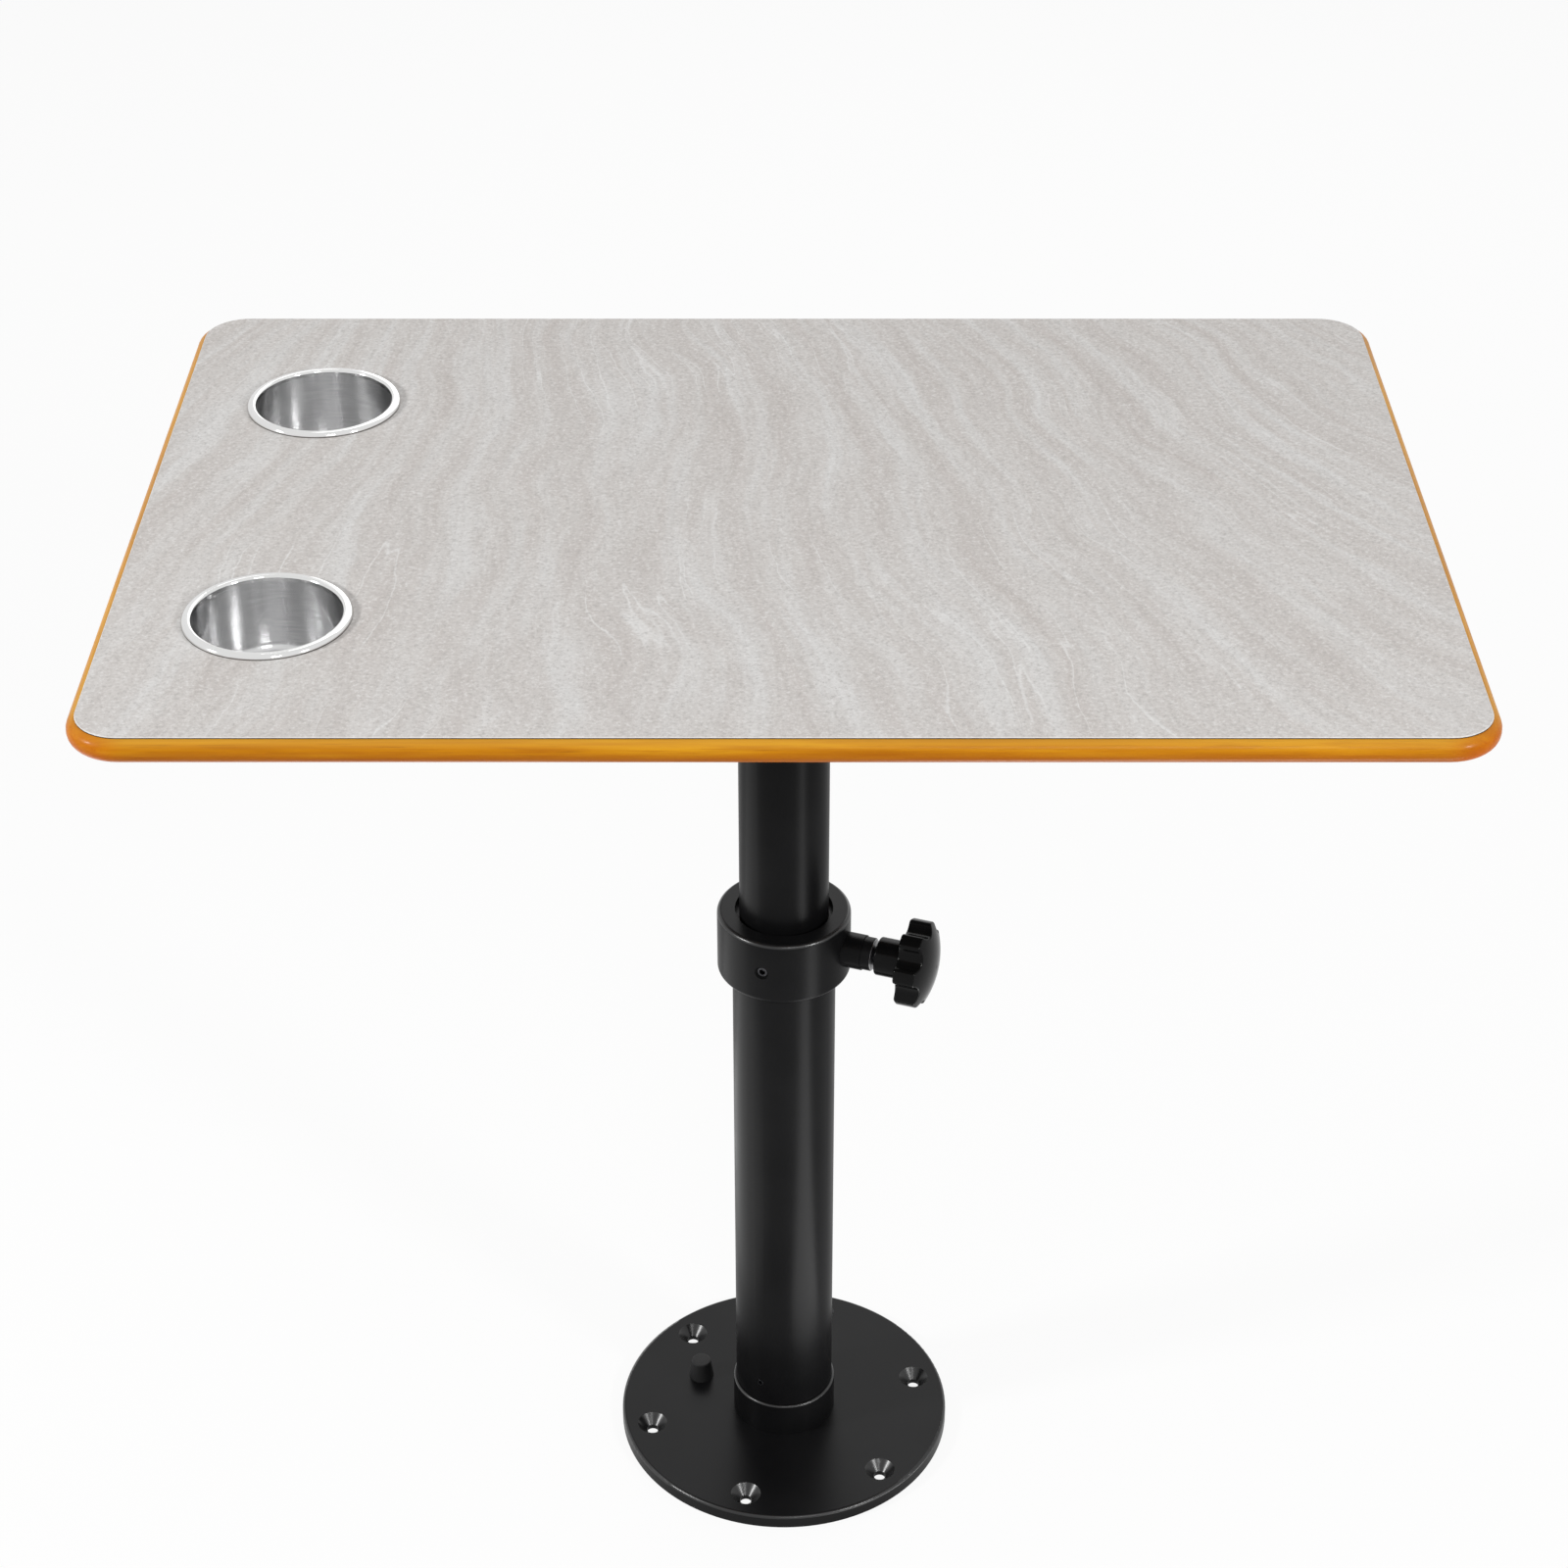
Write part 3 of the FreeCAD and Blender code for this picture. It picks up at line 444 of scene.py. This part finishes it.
def lacquered_wood():
    """Honey lacquered wood, with a dark backing paper below. The grain follows the nearest edge. The edge's
    rounding has painted light at its top and painted shade lower down.
    """
    low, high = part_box("table_board")
    surface = Surface("lacquered_wood", {
        "Specular IOR Level": 0.06, "Coat Weight": 0.12, "Coat Roughness": 0.15, "Coat IOR": 1.3})
    x, y, z = surface.split(surface.place)
    to_end = surface.math("SUBTRACT", high.x, surface.math("ABSOLUTE", x))
    to_side = surface.math("SUBTRACT", high.y, surface.math("ABSOLUTE", y))
    at_end = surface.span(surface.math("SUBTRACT", to_side, to_end), *GRAIN_TURN)
    inside = surface.span(surface.math("MINIMUM", to_side, to_end), *EDGE_BAND)
    across = surface.math("MULTIPLY", at_end, surface.math("SUBTRACT", 1.0, inside))

    def grain(scale, along, detail, roughness):
        """Noise drawn out along the grain, in both directions, chosen by the nearest edge."""
        long_way = surface.noise(scale, surface.stretched((along, 1.0, 1.0)), detail, roughness)
        short_way = surface.noise(scale, surface.stretched((1.0, along, 1.0)), detail, roughness)
        return surface.mix(across, long_way, short_way)

    bands = grain(90.0, along=0.06, detail=3.0, roughness=0.55)
    fibres = grain(420.0, along=0.03, detail=4.0, roughness=0.6)
    pores = grain(1500.0, along=0.02, detail=2.0, roughness=0.5)
    # Painted light: the top of the edge's rounding made paler. Painted shade: its lower part made darker.
    painted_light_top = surface.span(z, high.z - PAINTED_LIGHT_BAND, high.z, 0.0, 0.45)
    painted_shade_foot = surface.span(z, high.z - PAINTED_SHADE_BELOW_TOP, low.z + PAINTED_SHADE_ABOVE_FOOT, 0.0, 0.85)
    corner = surface.math(
        "MULTIPLY", surface.span(to_end, *CORNER_REACH), surface.span(to_side, *CORNER_REACH))
    colour = surface.ramp(bands, *WOOD_BANDS)
    for share, tone in (
        (surface.span(fibres, 0.42, 0.66, 0.0, 0.5), WOOD_FIBRE),
        (surface.span(pores, 0.62, 0.72, 0.0, 0.45), WOOD_PORE),
        (painted_light_top, WOOD_PAINTED_LIGHT),
        (painted_shade_foot, WOOD_PAINTED_SHADE),
        (surface.math("MULTIPLY", corner, 0.55), WOOD_CORNER),
    ):
        colour = surface.blend(share, colour, tone)
    backing = surface.math("MULTIPLY", inside, surface.span(surface.facing(), *WOOD_TO_BACKING))
    paper = surface.ramp(surface.noise(300.0, detail=4.0, roughness=0.7), *PAPER_STOPS)
    surface.set("Base Color", surface.blend(backing, colour, paper))
    surface.set("Roughness", surface.mix(
        backing, surface.over_noise(fibres, *WOOD_ROUGHNESS), PAPER_ROUGHNESS))
    surface.set("Normal", surface.relief(fibres, FIBRE_DEPTH))
    return surface.material


def stone_laminate():
    """Grey laminate with the look of sandstone: soft bent bands, thin pale threads and fine grains. Its cut edge
    has a painted highlight above a painted shadow.
    """
    low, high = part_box("laminate_sheet")
    surface = Surface("stone_laminate", {"Specular IOR Level": 0.05})
    drift = surface.wobble(3.2, detail=2.0, size=VEIN_DRIFT)
    ripple = surface.wobble(22.0, detail=3.0, size=VEIN_RIPPLE)
    bent = surface.vector_math("ADD", surface.place, surface.vector_math("ADD", drift, ripple))
    x, y, _ = surface.split(surface.vector_math("SUBTRACT", bent, VEIN_CENTRE))
    fan = surface.math("DIVIDE", x, surface.math("ABSOLUTE", y))
    veins = surface.join(fan, surface.math("MULTIPLY", y, VEIN_LENGTHWAYS))
    bands = surface.noise(36.0, veins, detail=4.0, roughness=0.62)
    streaks = surface.noise(140.0, veins, detail=4.0, roughness=0.6)
    from_thread = surface.math("ABSOLUTE", surface.math("SUBTRACT", surface.noise(30.0, veins), 0.5))
    threads = surface.span(from_thread, 0.0, THREAD_WIDTH, 1.0, 0.0)
    shown = surface.span(surface.noise(7.0), 0.48, 0.62)
    grains = surface.noise(430.0, detail=3.0, roughness=0.75)
    colour = surface.ramp(bands, *STONE_BANDS)
    for share, tone in (
        (surface.span(streaks, 0.35, 0.7, 0.0, 0.26), STONE_STREAK),
        (surface.math("MULTIPLY", threads, surface.math("MULTIPLY", shown, THREAD_SHARE)), STONE_THREAD),
        (surface.span(grains, 0.5, 0.72, 0.0, 0.6), STONE_DARK_GRAIN),
        (surface.span(grains, 0.5, 0.28, 0.0, 0.55), STONE_PALE_GRAIN),
    ):
        colour = surface.blend(share, colour, tone)
    height = surface.split(surface.place)[2]
    # Painted highlight and painted shadow on the sheet's cut edge: pale above, near-black below
    core_highlight_and_shadow = surface.ramp(surface.span(height, low.z, high.z), *STONE_CORE_WITH_PAINTED_HIGHLIGHT_AND_SHADOW)
    edge = surface.span(surface.facing(), *SHEET_TO_ITS_EDGE)
    surface.set("Base Color", surface.blend(edge, colour, core_highlight_and_shadow))
    surface.set("Roughness", surface.over_noise(grains, *STONE_ROUGHNESS))
    surface.set("Normal", surface.relief(grains, GRAIN_DEPTH))
    return surface.material


def dress_nodes():
    """Give every CAD node its material, by slot or of its own."""
    boss_end = max(vertex.co.dot(CLAMP_AXIS) for vertex in frame["nodes"]["clamp_collar"].data.vertices)
    collar_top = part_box("clamp_collar")[1].z
    by_slot = {
        "black_metal": powder_coat("black_metal", PLATE_GLOSS),
        "black_knob": moulded(
            "black_knob", shade=0.004, roughness=0.17, specular=0.08, grain=0.9 * MM, depth=0.002 * MM),
        "black_rubber": moulded(
            "black_rubber", shade=0.012, roughness=0.6, specular=0.25, grain=0.6 * MM, depth=0.03 * MM),
        "black_nylon": moulded(
            "black_nylon", shade=0.012, roughness=0.45, specular=0.25, grain=0.8 * MM, depth=0.02 * MM),
        "zinc_steel": plated_steel("zinc_steel", ZINC_SHADES, roughness=0.32),
        "black_steel": plated_steel("black_steel", BLACK_STEEL_SHADES, roughness=0.4),
        "lacquered_wood": lacquered_wood(),
        "stone_laminate": stone_laminate(),
    }
    tube_coat = powder_coat("black_metal_tube", TUBE_GLOSS)
    own = {
        "clamp_collar": powder_coat("black_metal_collar", TUBE_GLOSS, collar_top - COLLAR_EDGE, boss_end),
        "lower_tube": tube_coat,
        "upper_tube": tube_coat,
        "cup_holder_front": stainless("stainless_front", "cup_holder_front"),
        "cup_holder_rear": stainless("stainless_rear", "cup_holder_rear"),
    }
    for node, piece in frame["nodes"].items():
        material = own[node] if node in own else by_slot[slot_of(node)]
        piece.data.materials.clear()
        piece.data.materials.append(material)
    return by_slot


# Fine pieces

def ring(height, radius):
    """Points round local Z at a height. The radius is a number or a function of the angle."""
    points = []
    for step in range(RING_POINTS):
        angle = 2 * math.pi * step / RING_POINTS
        reach = radius(angle) if callable(radius) else radius
        points.append(Vector((reach * math.cos(angle), reach * math.sin(angle), height)))
    return points


def hexagon(apothem):
    """Radius of a hexagon by angle."""
    sector = math.pi / 3
    return lambda angle: apothem / math.cos((angle + sector / 2) % sector - sector / 2)


def cross(arm, width):
    """Radius of a cross recess by angle."""
    def reach(angle):
        narrow = min(abs(math.cos(angle)), abs(math.sin(angle)))
        return min(arm, width / 2 / narrow) if narrow > MERGE else arm
    return reach


def skin(bm, rings, matrix):
    """Close a skin over rings of points, with flat ends."""
    rows = [[bm.verts.new(matrix @ point) for point in points] for points in rings]
    for low, high in zip(rows, rows[1:]):
        for step, corner in enumerate(low):
            after = (step + 1) % len(low)
            bm.faces.new((corner, low[after], high[after], high[step]))
    bm.faces.new(list(reversed(rows[0])))
    bm.faces.new(rows[-1])


def add_object(name, data):
    """Put an object with that data in the scene."""
    made = bpy.data.objects.new(name, data)
    bpy.context.scene.collection.objects.link(made)
    return made


def piece_from(bm, node, material, name):
    """Make an object that stands for a CAD node and its body."""
    mesh = bpy.data.meshes.new(name)
    bm.to_mesh(mesh)
    bm.free()
    mesh.shade_smooth()
    mesh.set_sharp_from_angle(angle=SHARP_ANGLE)
    mesh.materials.append(material)
    piece = add_object(name, mesh)
    body = next(body for body, nodes in frame["record"]["behaviour"]["bodies"].items() if node in nodes)
    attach(piece, body)
    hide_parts(node)


def islands(node):
    """The separate solids of a CAD node, as lists of points."""
    bm = bmesh.new()
    bm.from_mesh(frame["nodes"][node].data)
    bmesh.ops.remove_doubles(bm, verts=bm.verts, dist=MERGE)
    left = set(bm.verts)
    found = []
    while left:
        group = set()
        waiting = [left.pop()]
        while waiting:
            vertex = waiting.pop()
            group.add(vertex)
            near = {link.other_vert(vertex) for link in vertex.link_edges} & left
            left -= near
            waiting.extend(near)
        found.append([vertex.co.copy() for vertex in group])
    bm.free()
    return sorted(found, key=lambda points: tuple(round(value, 5) for value in points_centre(points)))


def points_centre(points):
    """Middle of the box of some points."""
    return Vector([(min(values) + max(values)) / 2 for values in zip(*points)])


def measure(points, axis):
    """Matrix that puts local Z along an axis from a solid's near end, with its length and radius."""
    centre = points_centre(points)
    near = min((point - centre).dot(axis) for point in points)
    far = max((point - centre).dot(axis) for point in points)
    radius = max(((point - centre).cross(axis)).length for point in points)
    turn = axis.to_track_quat("Z", "Y").to_matrix().to_4x4()
    return Matrix.Translation(centre + near * axis) @ turn, far - near, radius


def grub_screw(length, radius):
    """Rings of a grub screw with a hexagon socket in its far end."""
    size = {name: share * radius for name, share in GRUB_SCREW.items()}
    chamfer = size["chamfer"]
    socket = hexagon(size["key"])
    return [
        ring(0.0, radius - 2 * chamfer), ring(2 * chamfer, radius), ring(length - chamfer, radius),
        ring(length, radius - chamfer), ring(length, socket), ring(length - size["key_depth"], socket),
        ring(length - size["drill_depth"], size["drill_end"]),
    ]


def wood_screw(length, radius):
    """Rings of a countersunk wood screw with a cross recess in its far end."""
    size = {name: share * radius for name, share in WOOD_SCREW.items()}
    shank = size["shank"]
    cone_end = length - size["rim"]
    return [
        ring(0.0, size["tip"]), ring(size["point"], shank), ring(cone_end - (radius - shank), shank),
        ring(cone_end, radius), ring(length, radius), ring(length, cross(size["arm"], size["slot"])),
        ring(length - size["floor_depth"], cross(size["floor_arm"], size["floor_slot"])),
        ring(length - size["pit_depth"], size["pit"]),
    ]


def outward(points):
    """Level direction from the column to a solid."""
    centre = points_centre(points)
    return Vector((centre.x, centre.y, 0.0)).normalized()


def downward(_points):
    """Straight down, for any solid."""
    return Vector((0.0, 0.0, -1.0))


def make_screws(materials):
    """Screws with their drive sockets, in the places of the CAD screws."""
    for node, rings, direction in (
        ("foot_set_screws", grub_screw, outward),
        ("top_set_screws", grub_screw, outward),
        ("collar_grub_screw", grub_screw, outward),
        ("flange_screws", wood_screw, downward),
    ):
        bm = bmesh.new()
        for points in islands(node):
            matrix, length, radius = measure(points, direction(points))
            skin(bm, rings(length, radius), matrix)
        piece_from(bm, node, materials[slot_of(node)], node + "_detailed")


def make_stud(materials):
    """The clamp stud with its thread and the plain nose that turns in the pad."""
    points = islands("clamp_stud")[0]
    matrix, length, crest = measure(points, CLAMP_AXIS)
    local = [matrix.inverted() @ point for point in points]
    shoulder = min(point.z for point in local if point.to_2d().length > STUD_CREST_SHARE * crest)
    nose = max(point.to_2d().length for point in local if point.z < shoulder / 2)
    root = crest - STUD_THREAD_DEPTH

    def thread_at(height):
        """Radius by angle at a height: a helical ridge, bevelled at both ends of the thread."""
        limit = root + max(0.0, min(height - shoulder, length - height))

        def reach(angle):
            phase = (height / STUD_PITCH - angle / (2 * math.pi)) % 1.0
            ridge = min(1.0, STUD_FLANK * (1.0 - abs(2.0 * phase - 1.0)))
            return min(limit, root + STUD_THREAD_DEPTH * ridge)
        return reach

    rows = round((length - shoulder) / STUD_PITCH * ROWS_PER_PITCH)
    rings = [ring(0.0, nose - STUD_NOSE_CHAMFER), ring(STUD_NOSE_CHAMFER, nose), ring(shoulder, nose)]
    for row in range(rows + 1):
        height = shoulder + (length - shoulder) * row / rows
        rings.append(ring(height, thread_at(height)))
    bm = bmesh.new()
    skin(bm, rings, matrix)
    piece_from(bm, "clamp_stud", materials[slot_of("clamp_stud")], "clamp_stud_threaded")


def let_spring_shorten():
    """Give the button's spring a mesh of its own, not shared with other objects."""
    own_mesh(frame["nodes"]["button_spring"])


# Stage

def make_world():
    """Soft light from all round, with a white background."""
    world = bpy.data.worlds.new("studio")
    bpy.context.scene.world = world
    world.use_nodes = True
    nodes = Nodes(world.node_tree)
    cast = nodes.tree.nodes["Background"]
    cast.inputs["Color"].default_value = WHITE
    cast.inputs["Strength"].default_value = AMBIENT
    seen = nodes.node("Background", {"Color": WHITE, "Strength": BACKGROUND})
    mix = nodes.node("MixShader", {0: nodes.seen_rays(), 1: cast.outputs[0], 2: seen.outputs[0]})
    nodes.feed(nodes.tree.nodes["World Output"].inputs["Surface"], mix.outputs[0])


def floor_material():
    """Pale paint that glows for the camera and casts no light of its own."""
    material = bpy.data.materials.new("pale_floor")
    material.use_nodes = True
    nodes = Nodes(material.node_tree)
    paint = nodes.tree.nodes["Principled BSDF"]
    for socket, value in FLOOR_PAINT.items():
        paint.inputs[socket].default_value = value
    glow = nodes.node("Emission", {"Strength": BACKGROUND})
    share = nodes.math("MULTIPLY", nodes.seen_rays(), FLOOR_GLOW)
    mix = nodes.node("MixShader", {0: share, 1: paint.outputs[0], 2: glow.outputs[0]})
    nodes.feed(nodes.tree.nodes["Material Output"].inputs["Surface"], mix.outputs[0])
    return material


def make_floor():
    """Plain pale floor that keeps a soft shadow and meets the white background."""
    half = FLOOR_SIDE / 2
    corners = [(x, y, -FLOOR_DROP) for x, y in ((-half, -half), (half, -half), (half, half), (-half, half))]
    mesh = bpy.data.meshes.new("floor")
    mesh.from_pydata(corners, [], [(0, 1, 2, 3)])
    mesh.materials.append(floor_material())
    add_object("floor", mesh)


def area_lamp(name, sides, watts):
    """A rectangular lamp that the camera doesn't see."""
    data = bpy.data.lights.new(name, "AREA")
    data.shape = "RECTANGLE"
    data.size, data.size_y = sides
    data.energy = watts
    lamp = add_object(name, data)
    lamp.visible_camera = False
    return lamp


def make_lamps():
    """Lamps round the table, and cards on the floor that face up."""
    for name, values in LAMPS.items():
        lamp = area_lamp(name, values["sides"], values["watts"])
        lamp.location = values["place"]
        lamp.rotation_euler = (Vector(LAMP_AIM) - lamp.location).to_track_quat("-Z", "Y").to_euler()
    for name, values in CARDS.items():
        card = area_lamp(name, values["sides"], values["watts"])
        card.location = (*values["place"], CARD_RISE)
        card.rotation_euler = (math.pi, 0.0, math.radians(values["turn"]))


def make_camera():
    """The photograph's camera."""
    data = bpy.data.cameras.new("photo_camera")
    data.lens = CAMERA_LENS
    data.sensor_width = CAMERA_SENSOR
    camera = add_object("photo_camera", data)
    camera.location = CAMERA_PLACE
    camera.rotation_euler = (math.radians(CAMERA_TILT), 0.0, 0.0)
    bpy.context.scene.camera = camera


make_camera()
make_lamps()
make_world()
make_floor()
slot_materials = dress_nodes()
make_screws(slot_materials)
make_stud(slot_materials)
let_spring_shorten()

bpy.context.scene.view_settings.view_transform = "Standard"
